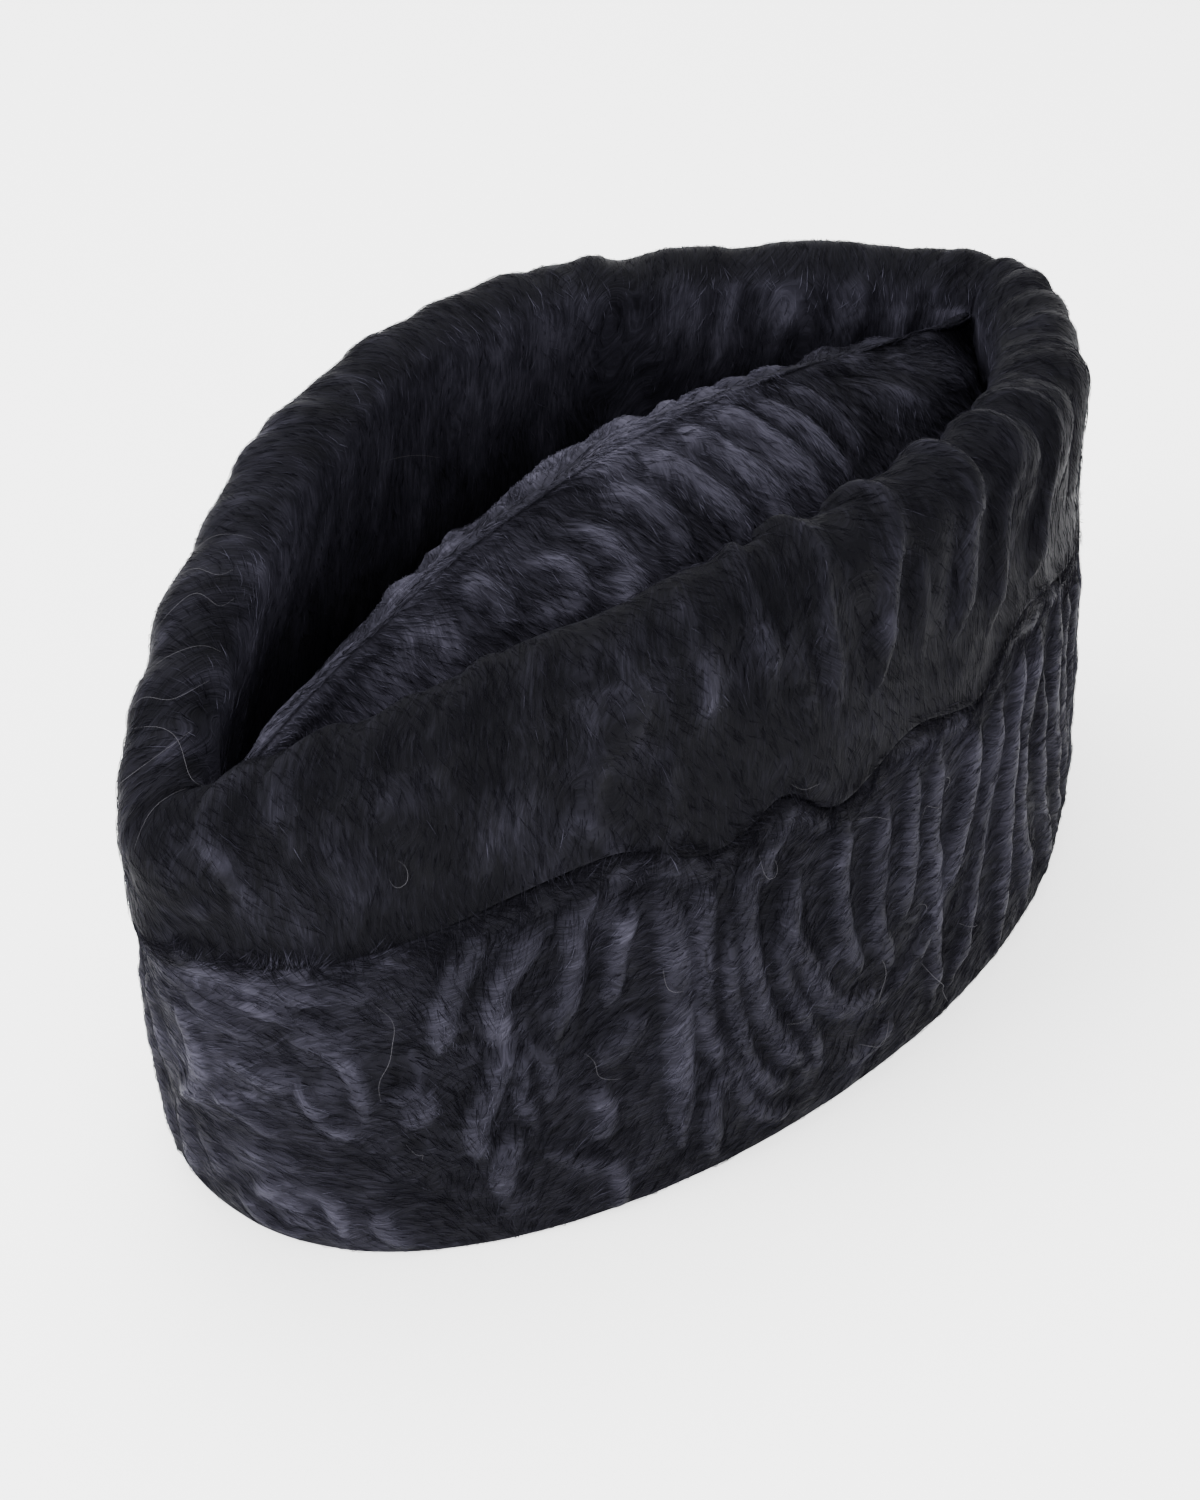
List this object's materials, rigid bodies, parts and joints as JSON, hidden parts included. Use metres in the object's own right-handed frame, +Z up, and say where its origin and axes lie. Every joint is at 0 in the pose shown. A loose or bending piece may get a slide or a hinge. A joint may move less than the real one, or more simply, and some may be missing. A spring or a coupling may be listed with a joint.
{
  "type": "fur hat",
  "caption": "Boat-shaped hat of flat curled lambskin: a rolled cuff with a low and a tall end stands round a ridged crown, open below for the head.",
  "frame": {"origin": "on the surface that the hat stands on, under the middle of its length and width", "axes": "+Z up out of the rim, +Y along the hat towards its tall end, +X across the hat to its right side"},
  "size_m": [0.142, 0.273, 0.1297],
  "materials": {
    "cuff_fur": "short glossy curled fur, near black with a cool sheen",
    "rim_fur": "short smooth fur, near black with a cool sheen",
    "crown_fur": "short rippled fur, near black with a cool sheen"
  },
  "bodies": {
    "root": {"lower_band": "cuff_fur", "upper_band": "rim_fur", "crown_panel_right": "crown_fur", "crown_panel_left": "crown_fur"}
  },
  "joints": []
}
